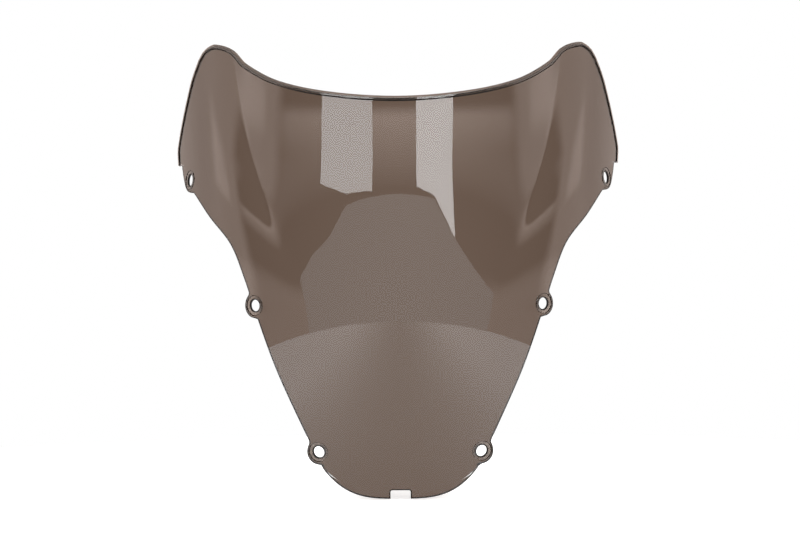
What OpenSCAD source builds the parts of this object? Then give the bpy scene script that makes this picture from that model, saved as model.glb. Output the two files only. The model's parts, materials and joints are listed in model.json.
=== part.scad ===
// Sport motorcycle windshield screen: a smoked bubble sheet with two folded wings,
// a push-on trim along its top edge and a flanged bush in each of its six fixing tabs.
// -Y is the outer face, +Z is up, and +X is to the right for someone who looks at that face.
// The origin is the middle of the locating notch, on the outer face at the bottom edge.
// Outline points are [half-width, height], in mm, in the front view.

/* [Sheet] */
// Thickness of the sheet
sheet_t = 2.2; // [1.8:0.1:3]
// Height of the sheet's top edge on the centreline
centre_h = 345; // [335:1:352]
// Height at which the sheet stands furthest forward
crown_z = 230; // [210:5:250]
// Radius of the sheet's long bend from bottom to top
rake_r = 800; // [700:10:1000]
// Radius of the sheet's cross bend at the bottom
bubble_low_r = 207; // [200:1:220]
// Height up to which the cross bend keeps its bottom radius
bubble_low_z = 150; // [120:5:180]
// Radius of the sheet's cross bend at the top
bubble_top_r = 170; // [168:1:185]
// Height from which the cross bend has its top radius
bubble_top_z = 300; // [280:5:320]

/* [Wings] */
// Half-width of the folds at the top of the ears
fold_top_x = 146; // [140:1:150]
// Height at which the folds have that half-width
fold_top_z = 390; // [380:1:395]
// How far each fold moves inwards for every mm down
fold_lean = 0.12; // [0.1:0.01:0.14]
// How quickly the lean grows further down
fold_bend = 0.00085; // [0.0007:0.00005:0.001]
// Drop in cross slope from the bubble to the wing at the fold
fold_drop = 0.62; // [0.4:0.01:0.7]
// How quickly the wing turns back again beyond the fold, in slope for every mm
wing_curl = 0.0078; // [0.005:0.0002:0.009]
// Half-width of the fold's rounding at the top
fold_soft = 2.2; // [1.5:0.1:5]
// Height at which the folds fade out
fold_end_z = 165; // [150:5:180]
// Height at which the folds have their full depth
fold_full_z = 300; // [280:5:320]

/* [Outline] */
// Corner where the chin meets the bottom tabs
chin = [67, 26]; // [20:0.5:70]
// Power of the chin's curve: higher is flatter in the middle
chin_power = 3.4; // [3:0.1:4]
// Side just above the bottom tabs
hip = [85, 63]; // [60:0.5:90]
// Side half way to the middle tabs
belly = [108, 114]; // [105:0.5:116]
// Side under the middle tabs
flank = [126.5, 165]; // [125:0.5:167]
// Side just above the middle tabs
waist = [135.5, 192]; // [134:0.5:194]
// Start of the flare up to the shoulder
flare = [148, 222]; // [147:0.5:224]
// Middle of the shoulder
shoulder = [167.6, 246]; // [167:0.2:248]
// Side under the top tabs
armpit = [183.4, 268]; // [183:0.2:269]
// Side beside the top tabs
cheek = [192.8, 280]; // [192:0.2:281]
// Side just under the end of the trim
step = [196.6, 294]; // [196:0.2:295]
// Ear just above the end of the trim
ear_foot = [199.6, 294.4]; // [199:0.2:295]
// Widest place of the ear
ear_wide = [200, 311]; // [199:0.5:313]
// Upper side of the ear
ear_side = [187.5, 366]; // [187:0.5:367]
// Outer shoulder of the ear, where it starts to round over
ear_brow = [179.4, 387.5]; // [179:0.2:388]
// Outer corner of the ear, half way round
ear_corner = [175, 394.8]; // [175:0.2:395]
// Ear between its corner and its peak
ear_crown = [170.6, 398.2]; // [170:0.2:399]
// Peak of the ear
ear_peak = [164, 400]; // [163:0.2:401]
// Top edge where it leaves the ear
ear_inner = [148, 393.8]; // [147:0.2:395]
// Top edge just inside the fold
top_dip = [134.5, 379.4]; // [134:0.2:382]
// Top edge beside the bubble
top_side = [104.5, 361.8]; // [104:0.2:364]
// Top edge near the middle
top_mid = [58, 349.8]; // [57:0.2:351]

/* [Tabs and holes] */
// Bottom hole
hole_low = [70.6, 41.1]; // [40:0.1:71]
// Middle hole
hole_mid = [125.5, 168.1]; // [125:0.1:169]
// Top hole
hole_top = [187.3, 280.2]; // [187:0.1:281]
// Radius of a tab's round end, measured on the sheet
tab_r = 11.2; // [10.5:0.1:12]
// Turn of each hole's seat away from the sheet's own direction
seat_turn = 3; // [0:0.5:4]
// Radius of the hole through a bush
bore_r = 5; // [4:0.1:5.2]
// Wall of a bush's sleeve
sleeve_wall = 1; // [0.8:0.1:1.1]
// Radius of a bush's flange
flange_r = 8.5; // [8:0.1:8.6]
// Thickness of a bush's flange
flange_t = 0.8; // [0.6:0.1:0.9]
// Gap round a bush
bush_gap = 0.1; // [0.05:0.01:0.2]
// Width of the locating notch
notch_w = 17.4; // [12:0.2:22]
// Height of the locating notch
notch_h = 7.8; // [5:0.2:10]
// Corner radius of the locating notch
notch_r = 1.5; // [0.5:0.1:3]

/* [Edge trim] */
// How far the trim reaches in over the sheet
trim_grip = 2.7; // [2:0.1:3.2]
// How far the trim stands out past the sheet's edge
trim_nose = 1.9; // [1:0.1:2.2]
// Thickness of the trim's two lips
trim_lip = 0.6; // [0.4:0.1:0.8]
// Gap between the trim and the sheet
trim_gap = 0.12; // [0.1:0.01:0.15]

/* [Hidden] */
smoke = [0.36, 0.31, 0.28, 0.75];
dark_smoke = [0.24, 0.21, 0.2, 0.9];
round_fn = 64;
through = 6;            // how far a cutter passes a face
seat_depth = flange_t + bush_gap;
sleeve_r = bore_r + sleeve_wall;
bush_chamfer = 0.25;
normal_step = 0.5;      // spacing used to measure the sheet's slope
fold_soft_low = 14;     // half-width of the fold's rounding where it fades out
tab_blend = 2;          // how softly a tab's end runs into the side
tab_zone = 16;          // height above and below a tab's hole where the rows are closer together
chin_share = 0.55;      // where the columns divide on the chin, as a share of its half-width
nose_start = 1.1;       // how far in over the sheet the trim's nose starts to round
lip_chamfer = 0.3;
least_miter = 0.8;      // keeps a sharp turn of the trim from growing too thick

// ---- small tools ----

function lerp(a, b, t) = a + (b - a) * t;
function ease(from, to, v) =
    let (t = min(1, max(0, (v - from) / (to - from))))
    t * t * (3 - 2 * t);
function unit(v) = v / norm(v);
function soft_max(a, b, blend) =
    (a + b + sqrt((a - b) * (a - b) + blend * blend)) / 2;

// Smooth curve through knots [v, value], rising in v.
function slope_at(k, i) =
    let (a = max(0, i - 1), b = min(len(k) - 1, i + 1))
    (k[b][1] - k[a][1]) / (k[b][0] - k[a][0]);
function curve(k, v, i = 0) =
    i < len(k) - 2 && v > k[i + 1][0] ? curve(k, v, i + 1) :
    let (
        w = k[i + 1][0] - k[i][0],
        t = (v - k[i][0]) / w,
        t2 = t * t,
        t3 = t2 * t
    )
    (2 * t3 - 3 * t2 + 1) * k[i][1] + (t3 - 2 * t2 + t) * w * slope_at(k, i)
        + (3 * t2 - 2 * t3) * k[i + 1][1] + (t3 - t2) * w * slope_at(k, i + 1);
function by_height(points) = [for (p = points) [p[1], p[0]]];

// ---- the sheet's outer face: depth y over the front view's x and z ----

function bubble_r(z) = lerp(bubble_low_r, bubble_top_r, ease(bubble_low_z, bubble_top_z, z));
function fold_x(z) =
    let (t = fold_top_z - z)
    fold_top_x - fold_lean * t - fold_bend * t * t * sign(t);
function beyond_fold(x, z) =
    let (
        u = x - fold_x(z),
        r = lerp(fold_soft_low, fold_soft, ease(fold_end_z, fold_full_z, z))
    )
    (u + sqrt(u * u + r * r)) / 2;
function face_y(x_any, z) =
    let (
        x = abs(x_any),
        r = bubble_r(z),
        wing = ease(fold_end_z, fold_full_z, z),
        h = beyond_fold(x, z)
    )
    z * (z - 2 * crown_z) / (2 * rake_r) + x * x / (2 * r) + pow(x, 4) / (8 * pow(r, 3))
        + wing * (wing_curl * h * h / 2 - fold_drop * h);
function on_face(p) = [p[0], face_y(p[0], p[1]), p[1]];
function normal(p) =
    let (
        d = normal_step,
        along_x = on_face(p + [d, 0]) - on_face(p - [d, 0]),
        along_z = on_face(p + [0, d]) - on_face(p - [0, d])
    )
    unit(cross(along_x, along_z));

// ---- outline in the front view ----

side_knots = by_height([chin, hip, belly, flank, waist, flare, shoulder, armpit, cheek, step]);
ear_knots = by_height([ear_foot, ear_wide, ear_side, ear_brow, ear_corner]);
top_knots = [
    [-top_mid[0], top_mid[1]],
    [0, centre_h],
    top_mid,
    top_side,
    top_dip,
    ear_inner,
    ear_peak,
    ear_crown,
    ear_corner,
];
holes = [hole_low, hole_mid, hole_top];

// Half-width of a tab's round end at height z, or 0 where the tab doesn't reach.
function tab_x(hole, z) =
    let (
        tilt = normal(hole)[1],
        reach = tab_r * tab_r - pow(z - hole[1], 2)
    )
    reach > 0 ? hole[0] - tilt * sqrt(reach) : 0;
function side_x(z) =
    z > step[1] ? curve(ear_knots, z) :
    soft_max(curve(side_knots, z), max([for (h = holes) tab_x(h, z)]), tab_blend);
function chin_z(x) = chin[1] * pow(x / side_x(chin[1]), chin_power);
function top_z(x) = curve(top_knots, x);

// ---- grid of front-view points, for one half ----

// Heights of the rows where they meet the side, closer together round the tabs.
function steps(from, to, n) = [for (i = [0 : n - 1]) lerp(from, to, i / n)];
low_rows = concat(
    steps(chin[1], hole_low[1] + tab_zone, 13),
    steps(hole_low[1] + tab_zone, hip[1], 1)
);
mid_rows = concat(
    steps(hip[1], hole_mid[1] - tab_zone, 8),
    steps(hole_mid[1] - tab_zone, hole_mid[1] + tab_zone, 13),
    steps(hole_mid[1] + tab_zone, hole_top[1] - tab_zone, 7),
    steps(hole_top[1] - tab_zone, step[1], 13),
    [step[1]]
);
ear_rows = [for (t = [0, 0.1, 0.2, 0.3, 0.4, 0.5, 0.6, 0.7, 0.8, 0.88, 0.94, 0.97, 1])
    lerp(ear_foot[1], ear_corner[1], t)];

// Shares of the way from the centreline to the fold, then from the fold to the side.
bubble_cols = [0, 0.15, 0.3, 0.45, 0.6, 0.75, 0.88, 0.97, 1];
wing_cols = [0.07, 0.2, 0.35, 0.5, 0.65, 0.8, 0.92, 1];
half_cols = len(bubble_cols) + len(wing_cols) - 1;

// A point of a patch between four edges: the bottom and top edges run in u, and the
// left and right edges run in v.
function patch(bottom, top, left, right, u, v) =
    (1 - v) * bottom(u) + v * top(u) + (1 - u) * left(v) + u * right(v)
        - (1 - u) * ((1 - v) * bottom(0) + v * top(0))
        - u * ((1 - v) * bottom(1) + v * top(1));

function flat_row(z) = concat(
    [for (u = bubble_cols) [fold_x(z) * u, z]],
    [for (u = wing_cols) [lerp(fold_x(z), side_x(z), u), z]]
);
// Chin rows: from the bottom edge up to the flat row at the hips.
function chin_row(z) =
    let (
        v = (z - chin[1]) / (hip[1] - chin[1]),
        inner_x = chin_share * side_x(chin[1]),
        low_fold = function(v) [
            lerp(inner_x, fold_x(hip[1]), v),
            lerp(chin_z(inner_x), hip[1], v)
        ]
    )
    concat(
        [for (u = bubble_cols) patch(
            function(u) [inner_x * u, chin_z(inner_x * u)],
            function(u) [fold_x(hip[1]) * u, hip[1]],
            function(v) [0, hip[1] * v],
            low_fold,
            u,
            v
        )],
        [for (u = wing_cols) patch(
            function(u)
                let (x = lerp(inner_x, side_x(chin[1]), u))
                [x, chin_z(x)],
            function(u) [lerp(fold_x(hip[1]), side_x(hip[1]), u), hip[1]],
            low_fold,
            function(v)
                let (z = lerp(chin[1], hip[1], v))
                [side_x(z), z],
            u,
            v
        )]
    );
// Ear rows: from the flat row at the step up to the top edge.
function ear_row(z) =
    let (
        foot_z = ear_foot[1],
        v = (z - foot_z) / (ear_corner[1] - foot_z),
        crest_x = fold_x(ear_inner[1]),
        fold_edge = function(v)
            let (z = lerp(foot_z, top_z(crest_x), v))
            [fold_x(z), z]
    )
    concat(
        [for (u = bubble_cols) patch(
            function(u) [fold_x(foot_z) * u, foot_z],
            function(u) [fold_edge(1)[0] * u, top_z(fold_edge(1)[0] * u)],
            function(v) [0, lerp(foot_z, centre_h, v)],
            fold_edge,
            u,
            v
        )],
        [for (u = wing_cols) patch(
            function(u) [lerp(fold_x(foot_z), side_x(foot_z), u), foot_z],
            function(u)
                let (x = lerp(fold_edge(1)[0], ear_corner[0], u))
                [x, top_z(x)],
            fold_edge,
            function(v)
                let (z = lerp(foot_z, ear_corner[1], v))
                [side_x(z), z],
            u,
            v
        )]
    );
half_grid = concat(
    [for (z = low_rows) chin_row(z)],
    [for (z = mid_rows) flat_row(z)],
    [for (z = ear_rows) ear_row(z)]
);
// The whole width, from the left side to the right side.
grid = [for (row = half_grid) concat(
    [for (j = [half_cols : -1 : 1]) [-row[j][0], row[j][1]]],
    row
)];
rows = len(grid);
cols = len(grid[0]);
// Number of the first row that the trim covers.
trim_row = len(low_rows) + len(mid_rows);

// ---- sheet ----

function face_points(depth) = [
    for (row = grid)
        for (p = row)
            on_face(p) - depth * normal(p)
];
// Triangles of one face of the sheet, seen from outside when flip is false.
function face_triangles(first, flip) = [
    for (i = [0 : rows - 2])
        for (j = [0 : cols - 2])
            let (
                a = first + i * cols + j,
                b = a + 1,
                c = a + cols + 1,
                d = a + cols
            )
            for (t = j < half_cols ? [[a, c, b], [a, d, c]] : [[a, d, b], [b, d, c]])
                flip ? [t[0], t[2], t[1]] : t
];
// Number of each point round the outline, anticlockwise from the bottom left.
rim = concat(
    [for (j = [0 : cols - 2]) j],
    [for (i = [0 : rows - 2]) i * cols + cols - 1],
    [for (j = [cols - 1 : -1 : 1]) (rows - 1) * cols + j],
    [for (i = [rows - 1 : -1 : 1]) i * cols]
);
function rim_triangles(offset) = [
    for (k = [0 : len(rim) - 1])
        let (a = rim[k], b = rim[(k + 1) % len(rim)])
        for (t = [[a, b, b + offset], [a, b + offset, a + offset]])
            t
];

module blank_sheet() {
    count = rows * cols;
    polyhedron(
        points = concat(face_points(0), face_points(sheet_t)),
        faces = concat(face_triangles(0, false), face_triangles(count, true), rim_triangles(count))
    );
}

// Puts its children at a hole, with their +Z along the hole, out of the outer face.
module at_hole(hole, side) {
    lean = normal(hole);
    turned = unit([lean[0], lean[1], lean[2]] + tan(seat_turn) * unit([-lean[1], lean[0], 0]));
    p = on_face(hole);
    translate([side * p[0], p[1], p[2]])
        rotate([0, acos(turned[2]), atan2(turned[1], side * turned[0])])
            children();
}

module hole_cutters() {
    for (hole = holes)
        for (side = [-1, 1])
            at_hole(hole, side) {
                translate([0, 0, -seat_depth])
                    cylinder(h = through, r = flange_r + bush_gap, $fn = round_fn);
                translate([0, 0, -through])
                    cylinder(h = 2 * through, r = sleeve_r + bush_gap, $fn = round_fn);
            }
}

module notch_cutter() {
    translate([-notch_w / 2, -through, -through])
        cube([notch_w, 2 * through, through + notch_h - notch_r]);
    translate([-notch_w / 2 + notch_r, -through, -through])
        cube([notch_w - 2 * notch_r, 2 * through, through + notch_h]);
    for (side = [-1, 1])
        translate([side * (notch_w / 2 - notch_r), through, notch_h - notch_r])
            rotate([90, 0, 0])
                cylinder(h = 2 * through, r = notch_r, $fn = round_fn);
}

module screen_sheet() {
    color(smoke)
        difference() {
            blank_sheet();
            hole_cutters();
            notch_cutter();
        }
}

// ---- trim ----

// Points of the sheet's edge under the trim, from the right foot over the top to the left foot.
trim_path = concat(
    [for (i = [trim_row : rows - 1]) grid[i][cols - 1]],
    [for (j = [cols - 2 : -1 : 1]) grid[rows - 1][j]],
    [for (i = [rows - 1 : -1 : trim_row]) grid[i][0]]
);
// The trim's section: [distance in from the sheet's edge, height over the outer face].
trim_section = let (
    middle = -sheet_t / 2,
    inner = sheet_t / 2 + trim_gap,
    outer = inner + trim_lip,
    lip = [[trim_grip, inner], [trim_grip, outer - lip_chamfer], [trim_grip - lip_chamfer, outer]],
    nose = [for (a = [0 : 45 : 180])
        [nose_start - (nose_start + trim_nose) * sin(a), outer * cos(a)]],
    slot = [[-trim_gap, -inner], [-trim_gap, inner]],
    far_lip = [for (k = [2 : -1 : 0]) [lip[k][0], -lip[k][1]]]
)
    [for (p = concat(lip, nose, far_lip, slot)) p + [0, middle]];
function trim_ring(i) =
    let (
        last = len(trim_path) - 1,
        here = on_face(trim_path[i]),
        before = on_face(trim_path[max(0, i - 1)]),
        after = on_face(trim_path[min(last, i + 1)]),
        up = normal(trim_path[i]),
        back = i > 0 ? unit(here - before) : unit(after - here),
        ahead = i < last ? unit(after - here) : unit(here - before),
        along = unit(back + ahead),
        inward = unit(cross(up, along)),
        miter = 1 / max(least_miter, back * along)
    )
    [for (s = trim_section) here + inward * s[0] * miter + up * s[1]];

module edge_trim() {
    n = len(trim_section);
    count = len(trim_path);
    color(dark_smoke)
        polyhedron(
            points = [for (i = [0 : count - 1]) each trim_ring(i)],
            faces = concat(
                [[for (k = [0 : n - 1]) k]],
                [for (i = [0 : count - 2])
                    for (k = [0 : n - 1])
                        let (
                            a = i * n + k,
                            b = i * n + (k + 1) % n
                        )
                        for (t = [[a, a + n, b], [b, a + n, b + n]])
                            t],
                [[for (k = [n - 1 : -1 : 0]) (count - 1) * n + k]]
            )
        );
}

// ---- bushes ----

module bush(hole, side) {
    face = -bush_gap;
    neck = face - flange_t;
    color(dark_smoke)
        at_hole(hole, side)
            rotate_extrude($fn = round_fn)
                polygon([
                    [bore_r, -sheet_t],
                    [sleeve_r, -sheet_t],
                    [sleeve_r, neck],
                    [flange_r, neck],
                    [flange_r, face - bush_chamfer],
                    [flange_r - bush_chamfer, face],
                    [bore_r, face],
                ]);
}

module bush_bottom_left() {
    bush(hole_low, -1);
}

module bush_bottom_right() {
    bush(hole_low, 1);
}

module bush_middle_left() {
    bush(hole_mid, -1);
}

module bush_middle_right() {
    bush(hole_mid, 1);
}

module bush_top_left() {
    bush(hole_top, -1);
}

module bush_top_right() {
    bush(hole_top, 1);
}

screen_sheet();
edge_trim();
bush_bottom_left();
bush_bottom_right();
bush_middle_left();
bush_middle_right();
bush_top_left();
bush_top_right();
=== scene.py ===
import json
import math

import bmesh
import bpy
import numpy as np
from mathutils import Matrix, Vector


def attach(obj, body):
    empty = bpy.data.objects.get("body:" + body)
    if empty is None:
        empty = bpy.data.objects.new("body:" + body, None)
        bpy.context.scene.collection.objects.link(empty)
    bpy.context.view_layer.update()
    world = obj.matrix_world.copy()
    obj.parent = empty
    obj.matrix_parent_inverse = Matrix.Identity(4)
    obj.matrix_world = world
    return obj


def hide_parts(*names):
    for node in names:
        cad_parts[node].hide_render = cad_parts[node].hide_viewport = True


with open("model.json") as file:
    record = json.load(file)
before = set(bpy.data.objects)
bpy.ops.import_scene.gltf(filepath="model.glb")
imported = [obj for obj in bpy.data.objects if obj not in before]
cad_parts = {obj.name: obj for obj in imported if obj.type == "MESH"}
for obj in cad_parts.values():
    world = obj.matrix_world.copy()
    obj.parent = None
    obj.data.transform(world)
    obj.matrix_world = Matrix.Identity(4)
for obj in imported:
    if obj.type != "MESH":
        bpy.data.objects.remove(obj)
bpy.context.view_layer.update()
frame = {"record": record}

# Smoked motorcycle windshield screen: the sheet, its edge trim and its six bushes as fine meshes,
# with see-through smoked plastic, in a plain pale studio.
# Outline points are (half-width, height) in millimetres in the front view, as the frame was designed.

MM = 0.001
MOUNTS = {mount["name"]: mount for mount in frame["record"]["mounts"]}

# ---- dimensions ----

# In millimetres, except that FOLD_BEND and WING_CURL are per millimetre, and that FOLD_LEAN, FOLD_DROP,
# CHIN_POWER, CHIN_SHARE and LEAST_MITER have no unit.
SHEET_T = 2.2
EDGE_ROUND = 1.09
CENTRE_H = 345.0
CROWN_Z = 230.0
RAKE_R = 800.0
BUBBLE_LOW_R = 207.0
BUBBLE_TOP_R = 170.0
BUBBLE_LOW_Z = 150.0
BUBBLE_TOP_Z = 300.0

FOLD_TOP_X = 146.0
FOLD_TOP_Z = 390.0
FOLD_LEAN = 0.12
FOLD_BEND = 0.00085
FOLD_DROP = 0.62
WING_CURL = 0.0078
FOLD_SOFT_LOW = 8.0
FOLD_SOFT_TOP = 1.4
FOLD_END_Z = 165.0
FOLD_FULL_Z = 300.0

CHIN = (67.0, 26.0)
CHIN_POWER = 3.4
HIP = (85.0, 63.0)
EAR_FOOT = (199.6, 294.4)
EAR_CORNER = (175.0, 394.8)
EAR_INNER = (148.0, 393.8)
SIDE_POINTS = [
    CHIN,
    HIP,
    (108.0, 114.0),
    (126.5, 165.0),
    (135.5, 192.0),
    (148.0, 222.0),
    (167.6, 246.0),
    (183.4, 268.0),
    (192.8, 280.0),
    (196.6, 294.0),
]
EAR_POINTS = [EAR_FOOT, (200.0, 311.0), (187.5, 366.0), (179.4, 387.5), EAR_CORNER]
TOP_POINTS = [
    (-58.0, 349.8),
    (0.0, CENTRE_H),
    (58.0, 349.8),
    (104.5, 361.8),
    (134.5, 379.4),
    EAR_INNER,
    (164.0, 400.0),
    (170.6, 398.2),
    EAR_CORNER,
]
HOLES = {"bottom": (70.6, 41.1), "middle": (125.5, 168.1), "top": (187.3, 280.2)}
TAB_R = 11.2
TAB_BLEND = 2.0
TAB_ZONE = 16.0
CHIN_SHARE = 0.55

HOLE_R = 6.1
SEAT_R = 8.6
SEAT_DEPTH = 0.9
SEAT_CHAMFER = 0.3
BUSH_GAP = 0.1
BUSH_FLANGE_R = 8.5
BUSH_FLANGE_T = 0.8
BUSH_SLEEVE_WALL = 1.0
BUSH_ROUND = 0.12
BUSH_MOUTH_ROUND = 1.0
BUSH_TAIL_ROUND = 0.8
NOTCH_W = 17.4
NOTCH_H = 7.8
NOTCH_R = 1.5
CUTTER_REACH = 6.0
CUTTER_CORE_R = 0.05
CUTTER_FLARE = 1.5
TOUCH = 0.01
TURN_SEGMENTS = 96

TRIM_GRIP = 2.7
TRIM_NOSE = 1.9
TRIM_NOSE_START = 1.1
TRIM_LIP = 0.6
TRIM_GAP = 0.12
# Length of the lip's inner end that takes the near-black finish: painted shade.
TRIM_DARK_LIP = 0.9
LEAST_MITER = 0.8


# ---- curves ----

def ease(start, end, value):
    t = np.clip((value - start) / (end - start), 0.0, 1.0)
    return t * t * (3.0 - 2.0 * t)


def lerp(a, b, t):
    return a + (b - a) * t


def curve(knots, value):
    """Smooth curve through knots (v, value), rising in v."""
    knots = np.asarray(knots)
    v, y = knots[:, 0], knots[:, 1]
    before = np.maximum(np.arange(len(v)) - 1, 0)
    after = np.minimum(np.arange(len(v)) + 1, len(v) - 1)
    slope = (y[after] - y[before]) / (v[after] - v[before])
    i = np.clip(np.searchsorted(v, value) - 1, 0, len(v) - 2)
    w = v[i + 1] - v[i]
    t = (value - v[i]) / w
    rise = t * t * (3.0 - 2.0 * t)
    return (
        y[i] + (y[i + 1] - y[i]) * rise
        + w * slope[i] * t * (1.0 - t) ** 2
        - w * slope[i + 1] * t * t * (1.0 - t)
    )


def unit(vectors):
    return vectors / np.linalg.norm(vectors, axis=-1, keepdims=True)


# ---- the sheet's outer face: depth y over the front view's x and z ----

def fold_x(z):
    drop = FOLD_TOP_Z - z
    return FOLD_TOP_X - FOLD_LEAN * drop - FOLD_BEND * drop * np.abs(drop)


def face_y(x, z):
    x = np.abs(x)
    radius = lerp(BUBBLE_LOW_R, BUBBLE_TOP_R, ease(BUBBLE_LOW_Z, BUBBLE_TOP_Z, z))
    wing = ease(FOLD_END_Z, FOLD_FULL_Z, z)
    softness = lerp(FOLD_SOFT_LOW, FOLD_SOFT_TOP, wing)
    past_fold = x - fold_x(z)
    beyond = (past_fold + np.sqrt(past_fold ** 2 + softness ** 2)) / 2.0
    rake = z * (z - 2.0 * CROWN_Z) / (2.0 * RAKE_R)
    bubble = x ** 2 / (2.0 * radius) + x ** 4 / (8.0 * radius ** 3)
    return rake + bubble + wing * (WING_CURL * beyond ** 2 / 2.0 - FOLD_DROP * beyond)


def on_face(points):
    x, z = points[..., 0], points[..., 1]
    return np.stack([x, face_y(x, z), z], axis=-1)


def face_normal(points, step=0.25):
    """Unit normal out of the outer face."""
    x, z = points[..., 0], points[..., 1]
    slope_x = (face_y(x + step, z) - face_y(x - step, z)) / (2.0 * step)
    slope_z = (face_y(x, z + step) - face_y(x, z - step)) / (2.0 * step)
    return unit(np.stack([slope_x, -np.ones_like(slope_x), slope_z], axis=-1))


# ---- outline ----

def by_height(points):
    return [(z, x) for x, z in points]


def side_x(z):
    z = np.asarray(z, float)
    plain = curve(by_height(SIDE_POINTS), np.minimum(z, SIDE_POINTS[-1][1]))
    tabs = np.zeros_like(z)
    for hole_x, hole_z in HOLES.values():
        tilt = -face_normal(np.array([hole_x, hole_z]))[1]
        reach = TAB_R ** 2 - (z - hole_z) ** 2
        tabs = np.maximum(tabs, np.where(reach > 0, hole_x + tilt * np.sqrt(np.maximum(reach, 0)), 0))
    low = (plain + tabs + np.sqrt((plain - tabs) ** 2 + TAB_BLEND ** 2)) / 2.0
    high = curve(by_height(EAR_POINTS), np.maximum(z, EAR_FOOT[1]))
    return np.where(z > SIDE_POINTS[-1][1], high, low)


def chin_z(x):
    return CHIN[1] * (x / side_x(CHIN[1])) ** CHIN_POWER


def top_z(x):
    return curve(TOP_POINTS, x)


# ---- grid of front-view points ----

# Spacing of the rows near the tabs and the ear's corner, and elsewhere.
FINE, PLAIN = 0.8, 2.5
EAR_ROUND_Z = 378.0


def stations(*stretches):
    """Values along stretches (start, end, spacing), without the last end."""
    parts = [
        np.linspace(start, end, max(1, round((end - start) / spacing)), endpoint=False)
        for start, end, spacing in stretches
    ]
    return np.concatenate(parts)


LOW_TAB_END = HOLES["bottom"][1] + TAB_ZONE
MID_TAB_START = HOLES["middle"][1] - TAB_ZONE
MID_TAB_END = HOLES["middle"][1] + TAB_ZONE
TOP_TAB_START = HOLES["top"][1] - TAB_ZONE
LOW_ROWS = stations(
    (CHIN[1], CHIN[1] + PLAIN, PLAIN),
    (CHIN[1] + PLAIN, LOW_TAB_END, FINE),
    (LOW_TAB_END, HIP[1], PLAIN),
)
MID_ROWS = np.append(
    stations(
        (HIP[1], MID_TAB_START, PLAIN),
        (MID_TAB_START, MID_TAB_END, FINE),
        (MID_TAB_END, TOP_TAB_START, PLAIN),
        (TOP_TAB_START, SIDE_POINTS[-1][1], FINE),
    ),
    SIDE_POINTS[-1][1],
)
EAR_ROWS = np.append(
    stations((EAR_FOOT[1], EAR_ROUND_Z, PLAIN), (EAR_ROUND_Z, EAR_CORNER[1] - PLAIN, FINE)),
    (EAR_CORNER[1] - PLAIN, EAR_CORNER[1]),
)

# Shares of the way from the centreline to the fold, and from the fold to the side, closer near the fold.
BUBBLE_COLS = stations((0.0, 0.93, 0.021), (0.93, 1.0, 0.005))
WING_COLS = np.append(stations((0.0, 0.2, 0.016), (0.2, 0.94, 0.037)), (0.94, 1.0))


def pair(x, z):
    return np.stack(np.broadcast_arrays(x, z), axis=-1)


def patch(bottom, top, left, right, u, v):
    """Points of the row at v, for all u, between bottom and top edges in u and left and right edges in v."""
    across = u[:, None]
    row = (1 - v) * bottom(u) + v * top(u) + (1 - across) * left(v) + across * right(v)
    zero, one = np.zeros(1), np.ones(1)
    row -= (1 - across) * ((1 - v) * bottom(zero) + v * top(zero))
    row -= across * ((1 - v) * bottom(one) + v * top(one))
    return row


def flat_row(z):
    crease = fold_x(z)
    bubble = pair(crease * BUBBLE_COLS, z)
    wing = pair(lerp(crease, side_x(z), WING_COLS), z)
    return np.concatenate([bubble, wing])


def chin_row(z):
    v = (z - CHIN[1]) / (HIP[1] - CHIN[1])
    end_x = float(side_x(CHIN[1]))
    inner_x = CHIN_SHARE * end_x
    hip_fold = fold_x(HIP[1])

    def crease(v):
        return pair(lerp(inner_x, hip_fold, v), lerp(chin_z(inner_x), HIP[1], v))

    def side(v):
        height = lerp(CHIN[1], HIP[1], v)
        return pair(side_x(height), height)

    def chin_edge(x):
        return pair(x, chin_z(x))

    bubble = patch(
        lambda u: chin_edge(inner_x * u),
        lambda u: pair(hip_fold * u, HIP[1]),
        lambda v: pair(0.0, HIP[1] * v),
        crease,
        BUBBLE_COLS,
        v,
    )
    wing = patch(
        lambda u: chin_edge(lerp(inner_x, end_x, u)),
        lambda u: pair(lerp(hip_fold, side_x(HIP[1]), u), HIP[1]),
        crease,
        side,
        WING_COLS,
        v,
    )
    return np.concatenate([bubble, wing])


def ear_row(z):
    foot = EAR_FOOT[1]
    v = (z - foot) / (EAR_CORNER[1] - foot)
    crest_z = top_z(fold_x(EAR_INNER[1]))
    crest_x = fold_x(crest_z)

    def crease(v):
        height = lerp(foot, crest_z, v)
        return pair(fold_x(height), height)

    def side(v):
        height = lerp(foot, EAR_CORNER[1], v)
        return pair(side_x(height), height)

    def top_edge(x):
        return pair(x, top_z(x))

    bubble = patch(
        lambda u: pair(fold_x(foot) * u, foot),
        lambda u: top_edge(crest_x * u),
        lambda v: pair(0.0, lerp(foot, CENTRE_H, v)),
        crease,
        BUBBLE_COLS,
        v,
    )
    wing = patch(
        lambda u: pair(lerp(fold_x(foot), EAR_FOOT[0], u), foot),
        lambda u: top_edge(lerp(crest_x, EAR_CORNER[0], u)),
        crease,
        side,
        WING_COLS,
        v,
    )
    return np.concatenate([bubble, wing])


def full_grid():
    half = np.array(
        [chin_row(z) for z in LOW_ROWS]
        + [flat_row(z) for z in MID_ROWS]
        + [ear_row(z) for z in EAR_ROWS]
    )
    mirrored = half[:, :0:-1] * np.array([-1.0, 1.0])
    return np.concatenate([mirrored, half], axis=1)


# ---- mesh helpers ----

SHARP_ANGLE = 35.0


def make_object(name, vertices, faces, materials, edge_faces=()):
    """Mesh object from vertices in millimetres. The faces in edge_faces take the second material."""
    mesh = bpy.data.meshes.new(name)
    mesh.from_pydata((np.asarray(vertices) * MM).tolist(), [], [list(map(int, f)) for f in faces])
    for material in materials:
        mesh.materials.append(material)
    for number in edge_faces:
        mesh.polygons[number].material_index = 1
    mesh.update()
    piece = bpy.data.objects.new(name, mesh)
    bpy.context.scene.collection.objects.link(piece)
    smooth(piece)
    return piece


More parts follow.
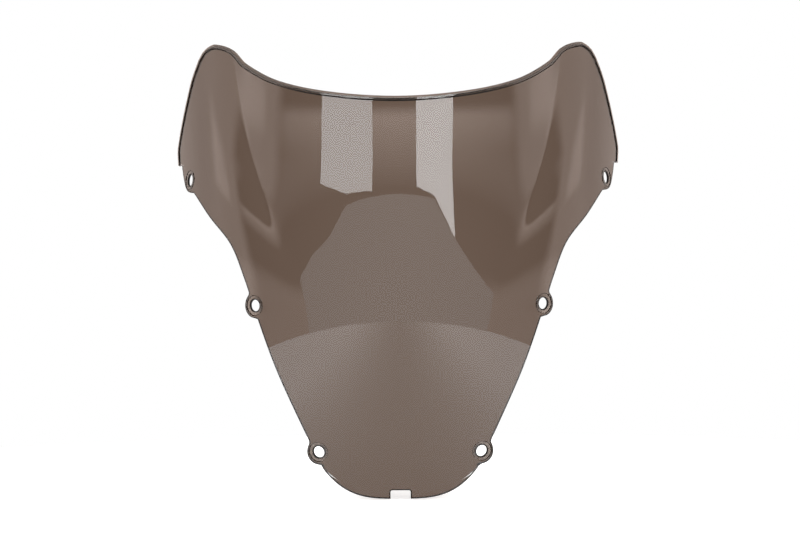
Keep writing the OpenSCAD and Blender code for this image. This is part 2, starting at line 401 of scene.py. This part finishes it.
def smooth(piece):
    """Smooth shading, except over sharp edges and where two materials meet."""
    mesh = piece.data
    mesh.shade_smooth()
    mesh.set_sharp_from_angle(angle=math.radians(SHARP_ANGLE))
    meeting = {}
    for polygon in mesh.polygons:
        for key in polygon.edge_keys:
            meeting.setdefault(key, set()).add(polygon.material_index)
    for edge in mesh.edges:
        if len(meeting[edge.key]) > 1:
            edge.use_edge_sharp = True


def loop_directions(path, normals, closed):
    """For each point of an edge that runs anticlockwise, the direction into the sheet and its miter."""
    ahead = np.roll(path, -1, axis=0) - path
    back = path - np.roll(path, 1, axis=0)
    if not closed:
        ahead[-1] = back[-1]
        back[0] = ahead[0]
    ahead, back = unit(ahead), unit(back)
    along = unit(ahead + back)
    miter = 1.0 / np.maximum(LEAST_MITER, np.sum(back * along, axis=1))
    return unit(np.cross(normals, along)), miter


# ---- sheet ----

def rim_numbers(rows, cols):
    """Grid numbers round the outline, anticlockwise from the bottom left, seen from the outer face."""
    return np.concatenate([
        np.arange(cols - 1),
        np.arange(rows - 1) * cols + cols - 1,
        (rows - 1) * cols + np.arange(cols - 1, 0, -1),
        np.arange(rows - 1, 0, -1) * cols,
    ])


PUSHED_RINGS = 6
RING_STEP = 0.15


def push_inside(points, rows, cols, edge, inward):
    """Moves grid points that lie too close to the edge inwards, so that the rounded rim has room."""
    row, col = np.divmod(np.arange(rows * cols), cols)
    ring = np.minimum(np.minimum(row, rows - 1 - row), np.minimum(col, cols - 1 - col))
    near = np.flatnonzero((ring > 0) & (ring <= PUSHED_RINGS))
    gap = np.linalg.norm(points[near][:, None, ::2] - edge[None, :, ::2], axis=2)
    closest = np.argmin(gap, axis=1)
    direction = unit(inward[closest])
    depth = np.sum((points[near] - edge[closest]) * direction, axis=1)
    short = np.maximum(EDGE_ROUND + RING_STEP * ring[near] - depth, 0.0)
    points[near] += short[:, None] * direction


def sheet_blank(grid, materials):
    rows, cols = grid.shape[:2]
    count = rows * cols
    flat = grid.reshape(-1, 2)
    face, normals = on_face(flat), face_normal(flat)
    rim = rim_numbers(rows, cols)
    edge, edge_normals = face[rim], normals[rim]
    inward, miter = loop_directions(edge, edge_normals, closed=True)
    inward = inward * miter[:, None]

    front = face.copy()
    front[rim] = edge + EDGE_ROUND * inward
    push_inside(front, rows, cols, edge, inward)
    front[:, 1] = face_y(front[:, 0], front[:, 2])
    back = front - SHEET_T * normals

    turns = np.radians([22.5, 45.0, 67.5, 90.0])
    section = [(EDGE_ROUND * (1 - math.sin(a)), EDGE_ROUND * (1 - math.cos(a))) for a in turns]
    section += [(into, SHEET_T - depth) for into, depth in reversed(section)]
    rings = [edge + into * inward - depth * edge_normals for into, depth in section]

    vertices = np.concatenate([front, back] + rings)
    index = np.arange(count).reshape(rows, cols)
    a, b = index[:-1, :-1].ravel(), index[:-1, 1:].ravel()
    c, d = index[1:, 1:].ravel(), index[1:, :-1].ravel()
    faces = np.stack([a, b, c, d], axis=1).tolist()
    faces += np.stack([d + count, c + count, b + count, a + count], axis=1).tolist()

    loops = [rim] + [2 * count + k * len(rim) + np.arange(len(rim)) for k in range(len(section))]
    loops.append(rim + count)
    # The rounded rim takes the near-black second material: partly the real dark of a smoked cut edge, partly
    # painted shade for the dark line refraction gives it.
    first_edge_face = len(faces)
    for near, far in zip(loops[:-1], loops[1:]):
        near_next, far_next = np.roll(near, -1), np.roll(far, -1)
        faces += np.stack([near, far, far_next, near_next], axis=1).tolist()
    edge_faces = range(first_edge_face, len(faces))
    return make_object("screen_sheet_moulding", vertices, faces, materials, edge_faces)


def lathe(name, profile, origin, axis, materials, edge_bands=()):
    """Mesh turned about an axis from a closed loop of (radius, height).

    Stretches whose radii both lie inside an edge band (low, high) take the second material.
    """
    turn = Vector((0, 0, 1)).rotation_difference(Vector(axis)).to_matrix()
    profile = np.asarray(profile, float)
    radius, height = profile[:, 0], profile[:, 1]
    rings = [
        np.stack([radius * math.cos(a), radius * math.sin(a), height], axis=1)
        for a in np.linspace(0.0, 2.0 * math.pi, TURN_SEGMENTS, endpoint=False)
    ]
    vertices = np.concatenate(rings) @ np.array(turn).T + np.asarray(origin)
    count = len(profile)
    next_radius = np.roll(radius, -1)
    is_edge = np.zeros(count, bool)
    for low, high in edge_bands:
        is_edge |= (np.minimum(radius, next_radius) > low) & (np.maximum(radius, next_radius) < high)
    faces, edge_faces = [], []
    for r in range(TURN_SEGMENTS):
        here, there = r * count, (r + 1) % TURN_SEGMENTS * count
        for k in range(count):
            if is_edge[k]:
                edge_faces.append(len(faces))
            after = (k + 1) % count
            faces.append((here + k, there + k, there + after, here + after))
    return make_object(name, vertices, faces, materials, edge_faces)


def hole_frame(name):
    """Mouth of a bush's bore and the direction out of it, in millimetres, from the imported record."""
    mount = MOUNTS[name]
    axis = np.array(mount["axis"])
    middle = np.array(mount["pos_m"]) / MM
    return middle + axis * mount["dims"]["length_mm"] / 2.0, axis


def seat_cutter(name, materials):
    """Cutter for one hole: the sleeve's hole, the flange's seat and a small chamfer round the seat."""
    mouth, axis = hole_frame(name)
    face = mouth + axis * BUSH_GAP
    flare_r = SEAT_R + SEAT_CHAMFER + CUTTER_FLARE
    profile = [
        (CUTTER_CORE_R, -CUTTER_REACH),
        (HOLE_R, -CUTTER_REACH),
        (HOLE_R, -SEAT_DEPTH),
        (SEAT_R, -SEAT_DEPTH),
        (SEAT_R, -SEAT_CHAMFER),
        (flare_r, CUTTER_FLARE),
        (flare_r, CUTTER_REACH),
        (CUTTER_CORE_R, CUTTER_REACH),
    ]
    # The hole's wall and the seat's wall and chamfer take the near-black second material: painted shade,
    # over the real dark of a cut edge.
    edge_bands = [(HOLE_R - TOUCH, HOLE_R + TOUCH), (SEAT_R - TOUCH, flare_r + TOUCH)]
    return lathe("cut_" + name, profile, face, axis, materials, edge_bands)


def notch_outline(grow):
    """Points round the notch from its right foot to its left foot, grown outward by a distance."""
    corner_x, corner_z = NOTCH_W / 2.0 - NOTCH_R, NOTCH_H - NOTCH_R
    radius = NOTCH_R + grow
    right = [(corner_x + radius, -CUTTER_REACH)]
    right += [
        (corner_x + radius * math.cos(a), corner_z + radius * math.sin(a))
        for a in np.linspace(0.0, math.pi / 2.0, 8)
    ]
    return np.array(right + [(-x, z) for x, z in reversed(right)])


def notch_cutter(materials):
    """Cutter for the notch, with a bevel along its front edge like the sheet's rounded rim."""
    levels = [
        (EDGE_ROUND, -CUTTER_REACH),
        (EDGE_ROUND, 0.0),
        (0.0, EDGE_ROUND),
        (0.0, CUTTER_REACH),
    ]
    face = on_face(notch_outline(0.0))
    rings = []
    for grow, depth in levels:
        outline = notch_outline(grow)
        rings.append(np.stack([outline[:, 0], face[:, 1] + depth, outline[:, 1]], axis=1))
    n = len(rings[0])
    faces = [tuple(range(n)), tuple(range(len(rings) * n - 1, (len(rings) - 1) * n - 1, -1))]
    for ring in range(len(rings) - 1):
        near, far = ring * n, (ring + 1) * n
        faces += [(near + k, far + k, far + (k + 1) % n, near + (k + 1) % n) for k in range(n)]
    vertices = np.concatenate(rings)
    # All the notch's walls take the near-black second material: painted shade, over the real dark of a cut
    # edge.
    return make_object("cut_notch", vertices, faces, materials, edge_faces=range(len(faces)))


def cut(piece, cutters):
    """Takes the cutters out of the piece and deletes them."""
    for cutter in cutters:
        step = piece.modifiers.new(cutter.name, "BOOLEAN")
        step.operation = "DIFFERENCE"
        step.solver = "MANIFOLD"
        step.object = cutter
    evaluated = piece.evaluated_get(bpy.context.evaluated_depsgraph_get())
    result = bpy.data.meshes.new_from_object(evaluated)
    old = piece.data
    piece.modifiers.clear()
    piece.data = result
    bpy.data.meshes.remove(old)
    for cutter in cutters:
        mesh = cutter.data
        bpy.data.objects.remove(cutter)
        bpy.data.meshes.remove(mesh)
    smooth(piece)


def make_sheet(grid, materials):
    sheet = sheet_blank(grid, materials)
    cutters = [seat_cutter(name, materials) for name in MOUNTS if name.startswith("screw_hole")]
    cut(sheet, cutters + [notch_cutter(materials)])
    return sheet


# ---- trim ----

def trim_section():
    """Closed loop of (distance in from the sheet's edge, height over the middle of its thickness)."""
    inner = SHEET_T / 2.0 + TRIM_GAP
    outer = inner + TRIM_LIP
    lip_r = TRIM_LIP / 2.0
    dark_lip_start = TRIM_GRIP - TRIM_DARK_LIP
    lip = [
        (TRIM_GRIP - lip_r + lip_r * math.cos(a), inner + lip_r + lip_r * math.sin(a))
        for a in np.linspace(-math.pi / 2.0, math.pi / 2.0, 7)
    ]
    lip = [(dark_lip_start, inner)] + lip + [(dark_lip_start, outer)]
    nose = [
        (TRIM_NOSE_START - (TRIM_NOSE_START + TRIM_NOSE) * math.sin(a), outer * math.cos(a))
        for a in np.linspace(0.0, math.pi, 19)
    ]
    far_lip = [(into, -rise) for into, rise in reversed(lip)]
    slot = [(-TRIM_GAP, -inner), (-TRIM_GAP, inner)]
    return lip + nose + far_lip + slot


def make_trim(grid, materials):
    first = len(LOW_ROWS) + len(MID_ROWS)
    path = np.concatenate([
        grid[first:, -1],
        grid[-1, -2:0:-1],
        grid[:first - 1:-1, 0],
    ])
    edge, normals = on_face(path), face_normal(path)
    inward, miter = loop_directions(edge, normals, closed=False)
    inward = inward * miter[:, None]
    middle = edge - normals * SHEET_T / 2.0
    loop = trim_section()
    rings = [middle + into * inward + rise * normals for into, rise in loop]
    vertices = np.stack(rings, axis=1).reshape(-1, 3)
    count, length = len(loop), len(path)
    dark_lip_start = TRIM_GRIP - TRIM_DARK_LIP
    # The faces of the lip's inner end take the near-black second material: painted shade for the dark line
    # that contact shadow and refraction make where the lip meets the sheet.
    dark_lip = [
        min(loop[k][0], loop[(k + 1) % count][0]) > dark_lip_start - TOUCH
        for k in range(count)
    ]
    faces, edge_faces = [], []
    for ring in range(length - 1):
        for k in range(count):
            if dark_lip[k]:
                edge_faces.append(len(faces))
            here, after = ring * count + k, ring * count + (k + 1) % count
            faces.append((here, after, after + count, here + count))
    faces.append(tuple(range(count - 1, -1, -1)))
    faces.append(tuple(range((length - 1) * count, length * count)))
    return make_object("edge_trim_moulding", vertices, faces, materials, edge_faces)


# ---- bushes ----

def rounded(corner, before, after, radius, steps=4):
    """Points that round a corner of a profile between its two neighbours."""
    corner, before, after = (np.array(p, float) for p in (corner, before, after))
    start = corner + (before - corner) / np.linalg.norm(before - corner) * radius
    end = corner + (after - corner) / np.linalg.norm(after - corner) * radius
    t = np.linspace(0.0, 1.0, steps)[:, None]
    return ((1 - t) ** 2 * start + 2 * t * (1 - t) * corner + t ** 2 * end).tolist()


def bush_profile(bore_r, length):
    """Closed loop of (radius, height) from the bore's mouth at height 0 down to the end of the sleeve."""
    sleeve_r = bore_r + BUSH_SLEEVE_WALL
    corners = [
        (bore_r, -length, BUSH_TAIL_ROUND),
        (sleeve_r, -length, BUSH_ROUND),
        (sleeve_r, -BUSH_FLANGE_T, BUSH_ROUND),
        (BUSH_FLANGE_R, -BUSH_FLANGE_T, BUSH_ROUND),
        (BUSH_FLANGE_R, 0.0, BUSH_ROUND),
        (bore_r, 0.0, BUSH_MOUTH_ROUND),
    ]
    points = []
    for k, (radius, height, rounding) in enumerate(corners):
        before, after = corners[k - 1][:2], corners[(k + 1) % len(corners)][:2]
        points += rounded((radius, height), before, after, rounding)
    return points


def make_bush(place, materials):
    mount = "screw_hole_" + place
    mouth, axis = hole_frame(mount)
    dims = MOUNTS[mount]["dims"]
    bore_r = dims["r_mm"]
    profile = bush_profile(bore_r, dims["length_mm"])
    # The bore with its rounded mouth and tail takes the near-black second material: painted shade for the
    # dark ring seen round the bore.
    edge_bands = [(bore_r - TOUCH, bore_r + BUSH_MOUTH_ROUND + TOUCH)]
    return lathe("bush_" + place + "_turned", profile, mouth, axis, materials, edge_bands)


# ---- materials ----

SMOKE_TINT = (0.264, 0.116, 0.0)
PLASTIC_IOR = 1.49
POLISH_SPREAD = 0.4

# Noise scales, in features for every metre.
POLISH_PATCHES = 14.0
RIPPLES = 22.0
CUTTER_MARKS = 1800.0
FLOOR_PATCHES = 6.0


def node(tree, kind, **settings):
    made = tree.nodes.new(kind)
    for key, value in settings.items():
        setattr(made, key, value)
    return made


def noise(tree, vector, scale, detail):
    made = node(tree, "ShaderNodeTexNoise")
    made.inputs["Scale"].default_value = scale
    made.inputs["Detail"].default_value = detail
    tree.links.new(vector, made.inputs["Vector"])
    return made.outputs["Fac"]


def smoked_plastic(name, absorption_per_mm, roughness, ripple_m):
    """See-through smoked plastic: it darkens with the distance that light goes through it."""
    material = bpy.data.materials.new(name)
    material.use_nodes = True
    tree = material.node_tree
    shader = tree.nodes["Principled BSDF"]
    shader.inputs["Base Color"].default_value = (1.0, 1.0, 1.0, 1.0)
    shader.inputs["Transmission Weight"].default_value = 1.0
    shader.inputs["IOR"].default_value = PLASTIC_IOR
    place = node(tree, "ShaderNodeTexCoord").outputs["Object"]

    polish = node(tree, "ShaderNodeMapRange")
    polish.inputs["To Min"].default_value = roughness * (1.0 - POLISH_SPREAD)
    polish.inputs["To Max"].default_value = roughness * (1.0 + POLISH_SPREAD)
    tree.links.new(noise(tree, place, POLISH_PATCHES, 3.0), polish.inputs["Value"])
    tree.links.new(polish.outputs["Result"], shader.inputs["Roughness"])

    wave = node(tree, "ShaderNodeBump")
    wave.inputs["Strength"].default_value = 1.0
    wave.inputs["Distance"].default_value = ripple_m
    tree.links.new(noise(tree, place, RIPPLES, 1.0), wave.inputs["Height"])
    tree.links.new(wave.outputs["Normal"], shader.inputs["Normal"])

    smoke = node(tree, "ShaderNodeVolumeAbsorption")
    smoke.inputs["Color"].default_value = (*SMOKE_TINT, 1.0)
    smoke.inputs["Density"].default_value = absorption_per_mm / MM
    output = tree.nodes["Material Output"]
    tree.links.new(smoke.outputs["Volume"], output.inputs["Volume"])
    return material


def cut_edge():
    """Matt near-black finish with fine cutter marks: partly the real dark of a smoked plastic cut edge,
    partly painted shade for the dark that refraction and internal reflection give its edges.
    """
    material = bpy.data.materials.new("cut_edge")
    material.use_nodes = True
    tree = material.node_tree
    shader = tree.nodes["Principled BSDF"]
    place = node(tree, "ShaderNodeTexCoord").outputs["Object"]
    marks = noise(tree, place, CUTTER_MARKS, 4.0)
    tone = node(tree, "ShaderNodeMix", data_type="RGBA")
    # Near-black tones: painted shade laid over the real dark of a cut edge; the cutter marks vary them.
    tone.inputs["A"].default_value = (0.004, 0.0035, 0.003, 1.0)
    tone.inputs["B"].default_value = (0.012, 0.010, 0.009, 1.0)
    tree.links.new(marks, tone.inputs["Factor"])
    tree.links.new(tone.outputs["Result"], shader.inputs["Base Color"])
    shader.inputs["Roughness"].default_value = 0.55
    shader.inputs["Specular IOR Level"].default_value = 0.1
    bump = node(tree, "ShaderNodeBump")
    bump.inputs["Strength"].default_value = 0.5
    bump.inputs["Distance"].default_value = 2e-5
    tree.links.new(marks, bump.inputs["Height"])
    tree.links.new(bump.outputs["Normal"], shader.inputs["Normal"])
    return material


# ---- pieces ----

def place_piece(piece, cad_node):
    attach(piece, "root")
    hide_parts(cad_node)


EDGE = cut_edge()
SHEET_SMOKE = smoked_plastic("smoked_sheet", absorption_per_mm=1.21, roughness=0.02, ripple_m=6e-6)
TRIM_SMOKE = smoked_plastic("smoked_trim", absorption_per_mm=0.85, roughness=0.05, ripple_m=3e-6)
BUSH_SMOKE = smoked_plastic("smoked_bush", absorption_per_mm=1.2, roughness=0.05, ripple_m=1e-6)

GRID = full_grid()
place_piece(make_sheet(GRID, (SHEET_SMOKE, EDGE)), "screen_sheet")
place_piece(make_trim(GRID, (TRIM_SMOKE, EDGE)), "edge_trim")
for level in HOLES:
    for hand in ("left", "right"):
        spot = level + "_" + hand
        place_piece(make_bush(spot, (BUSH_SMOKE, EDGE)), "bush_" + spot)


# ---- studio, in metres ----

CAMERA_DISTANCE = 1.9
CAMERA_HEIGHT = 0.198
CAMERA_RIGHT = 0.001
CAMERA_ROLL = 0.45
VIEW_WIDTH = 0.691
SENSOR = 36.0
FLOOR_RADIUS = 0.75
FLOOR_DROP = 0.001
FRONT_WALL_Y = -2.4

LEFT_SOFTBOX_GLOW = 6.6
RIGHT_SOFTBOX_GLOW = 8.7
TABLE_CARD_GLOW = 1.75

# Brightness of the room's parts in the screen's gloss.
ROOM_DIM = 0.45
SIDE_GLOW = 2.0
WINDOW_GLOW = 1.0
OVERHEAD_GLOW = 3.4
BELOW_GLOW = 1.1
ROOM_TINT = (1.0, 0.86, 0.79)

# Corners of the cards on the front wall, as (x, z): what the screen's gloss mirrors.
LEFT_SOFTBOX = [(-2.65, 0.84), (-1.44, 0.62), (-0.67, 0.58), (-0.72, 2.2), (-2.75, 2.2)]
RIGHT_SOFTBOX = [(0.47, 0.6), (0.95, 0.56), (1.47, 0.3), (1.9, 2.2), (0.55, 2.2)]
TABLE_CARD = [
    (-2.45, -1.1),
    (-2.65, -0.42),
    (-3.0, 0.08),
    (-2.65, 0.26),
    (-1.95, 0.36),
    (-1.45, 0.54),
    (0.95, 0.54),
    (1.45, 0.3),
    (2.0, 0.1),
    (2.8, -0.17),
    (2.5, -0.55),
    (2.4, -1.1),
]


def make_camera():
    data = bpy.data.cameras.new("camera")
    data.sensor_width = SENSOR
    data.lens = SENSOR * CAMERA_DISTANCE / VIEW_WIDTH
    camera = bpy.data.objects.new("camera", data)
    camera.location = (CAMERA_RIGHT, -CAMERA_DISTANCE, CAMERA_HEIGHT)
    camera.rotation_euler = (math.radians(90.0), math.radians(CAMERA_ROLL), 0.0)
    bpy.context.scene.collection.objects.link(camera)
    bpy.context.scene.camera = camera


def glowing(name, brightness):
    material = bpy.data.materials.new(name)
    material.use_nodes = True
    tree = material.node_tree
    tree.nodes.remove(tree.nodes["Principled BSDF"])
    glow = node(tree, "ShaderNodeEmission")
    glow.inputs["Color"].default_value = (1.0, 1.0, 1.0, 1.0)
    glow.inputs["Strength"].default_value = brightness
    tree.links.new(glow.outputs["Emission"], tree.nodes["Material Output"].inputs["Surface"])
    return material


def light_card(name, corners, brightness):
    """Glowing card on the front wall that only the screen's gloss and the floor see."""
    mesh = bpy.data.meshes.new(name)
    mesh.from_pydata([(x, FRONT_WALL_Y, z) for x, z in corners], [], [list(range(len(corners)))])
    mesh.materials.append(glowing(name, brightness))
    card = bpy.data.objects.new(name, mesh)
    card.visible_camera = False
    card.visible_transmission = False
    card.visible_shadow = False
    bpy.context.scene.collection.objects.link(card)


def ramp(tree, value, start, end, low, high, smooth_ends=True):
    made = node(tree, "ShaderNodeMapRange")
    made.interpolation_type = "SMOOTHSTEP" if smooth_ends else "LINEAR"
    for key, number in (("From Min", start), ("From Max", end), ("To Min", low), ("To Max", high)):
        made.inputs[key].default_value = number
    tree.links.new(value, made.inputs["Value"])
    return made.outputs["Result"]


def combine(tree, operation, first, second):
    made = node(tree, "ShaderNodeMath", operation=operation)
    tree.links.new(first, made.inputs[0])
    tree.links.new(second, made.inputs[1])
    return made.outputs["Value"]


def times_plus(tree, first, factor, second):
    """first * factor + second, where the factor is a number."""
    made = node(tree, "ShaderNodeMath", operation="MULTIPLY_ADD")
    made.inputs[1].default_value = factor
    tree.links.new(first, made.inputs[0])
    tree.links.new(second, made.inputs[2])
    return made.outputs["Value"]


def overhead_glow(tree, back, up):
    """Ceiling light that grows with height and stops at a slanting upper edge and towards the sides."""
    glow = ramp(tree, up, 0.13, 0.345, 0.0, OVERHEAD_GLOW, smooth_ends=False)
    upper_edge = times_plus(tree, back, 0.12, up)
    glow = combine(tree, "MULTIPLY", glow, ramp(tree, upper_edge, 0.19, 0.23, 1.0, 0.0))
    return combine(tree, "MULTIPLY", glow, ramp(tree, back, -0.35, -0.2, 1.0, 0.0))


def side_glow(tree, back, up):
    """Light from the sides, which reaches further forward the higher up it is, and fades behind."""
    reach = times_plus(tree, combine(tree, "MULTIPLY", up, up), 2.0, back)
    glow = combine(
        tree,
        "MAXIMUM",
        ramp(tree, back, -0.32, -0.18, ROOM_DIM, SIDE_GLOW),
        ramp(tree, reach, -0.1, 0.02, ROOM_DIM, SIDE_GLOW),
    )
    return combine(tree, "MULTIPLY", glow, ramp(tree, back, 0.1, 0.4, 1.0, 0.75))


def side_windows(tree, back, up):
    """A soft brighter patch square to each side, a little above eye level."""
    glow = combine(
        tree,
        "MULTIPLY",
        ramp(tree, back, -0.15, -0.03, 0.0, WINDOW_GLOW),
        ramp(tree, back, 0.1, 0.22, 1.0, 0.0),
    )
    glow = combine(tree, "MULTIPLY", glow, ramp(tree, up, 0.16, 0.21, 0.0, 1.0))
    return combine(tree, "MULTIPLY", glow, ramp(tree, up, 0.24, 0.29, 1.0, 0.0))


def mirrored_room(tree):
    """Brightness of the room that the gloss mirrors, by how far back and up a direction points."""
    place = node(tree, "ShaderNodeTexCoord").outputs["Generated"]
    split = node(tree, "ShaderNodeSeparateXYZ")
    tree.links.new(place, split.inputs["Vector"])
    back, up = split.outputs["Y"], split.outputs["Z"]
    room = combine(tree, "ADD", overhead_glow(tree, back, up), side_glow(tree, back, up))
    room = combine(tree, "ADD", room, side_windows(tree, back, up))
    return combine(tree, "ADD", room, ramp(tree, up, -0.03, -0.12, 0.0, BELOW_GLOW))


def studio_world():
    """White for what shows through the screen, and a dimmer room for what its gloss mirrors."""
    world = bpy.data.worlds.new("studio")
    bpy.context.scene.world = world
    world.use_nodes = True
    tree = world.node_tree
    white = tree.nodes["Background"]
    white.inputs["Color"].default_value = (1.0, 1.0, 1.0, 1.0)
    white.inputs["Strength"].default_value = 1.0
    room = node(tree, "ShaderNodeBackground")
    room.inputs["Color"].default_value = (*ROOM_TINT, 1.0)
    tree.links.new(mirrored_room(tree), room.inputs["Strength"])
    path = node(tree, "ShaderNodeLightPath")
    mirrored = combine(tree, "SUBTRACT", path.outputs["Is Glossy Ray"], path.outputs["Is Transmission Ray"])
    choose = node(tree, "ShaderNodeMixShader")
    tree.links.new(mirrored, choose.inputs["Fac"])
    tree.links.new(white.outputs["Background"], choose.inputs[1])
    tree.links.new(room.outputs["Background"], choose.inputs[2])
    tree.links.new(choose.outputs["Shader"], tree.nodes["World Output"].inputs["Surface"])


def pale_floor():
    """Pale matt floor with a painted glow: an emission that is weak in the middle and grows away from it,
    which brightens it and washes out the shadows on it.
    """
    material = bpy.data.materials.new("pale_floor")
    material.use_nodes = True
    tree = material.node_tree
    shader = tree.nodes["Principled BSDF"]
    place = node(tree, "ShaderNodeTexCoord").outputs["Object"]
    tone = node(tree, "ShaderNodeMix", data_type="RGBA")
    tone.inputs["A"].default_value = (0.90, 0.90, 0.90, 1.0)
    tone.inputs["B"].default_value = (0.94, 0.94, 0.94, 1.0)
    tree.links.new(noise(tree, place, FLOOR_PATCHES, 3.0), tone.inputs["Factor"])
    tree.links.new(tone.outputs["Result"], shader.inputs["Base Color"])
    shader.inputs["Roughness"].default_value = 0.9
    split = node(tree, "ShaderNodeSeparateXYZ")
    tree.links.new(place, split.inputs["Vector"])
    off_centre = node(tree, "ShaderNodeMath", operation="ABSOLUTE")
    tree.links.new(split.outputs["X"], off_centre.inputs[0])
    # Painted glow: emission that grows with the distance from the middle, standing in for light.
    shader.inputs["Emission Color"].default_value = (1.0, 0.97, 0.96, 1.0)
    glow = ramp(tree, off_centre.outputs["Value"], 0.0, 0.38, 0.25, 2.0)
    tree.links.new(glow, shader.inputs["Emission Strength"])
    return material


def make_floor():
    bm = bmesh.new()
    bmesh.ops.create_circle(bm, cap_ends=True, radius=FLOOR_RADIUS, segments=96)
    mesh = bpy.data.meshes.new("floor")
    bm.to_mesh(mesh)
    bm.free()
    floor = bpy.data.objects.new("floor", mesh)
    floor.location = (0.0, 0.0, -FLOOR_DROP)
    mesh.materials.append(pale_floor())
    floor.visible_transmission = False
    bpy.context.scene.collection.objects.link(floor)


make_camera()
studio_world()
make_floor()
light_card("softbox_left", LEFT_SOFTBOX, LEFT_SOFTBOX_GLOW)
light_card("softbox_right", RIGHT_SOFTBOX, RIGHT_SOFTBOX_GLOW)
light_card("table_card", TABLE_CARD, TABLE_CARD_GLOW)
bpy.context.scene.view_settings.view_transform = "Standard"
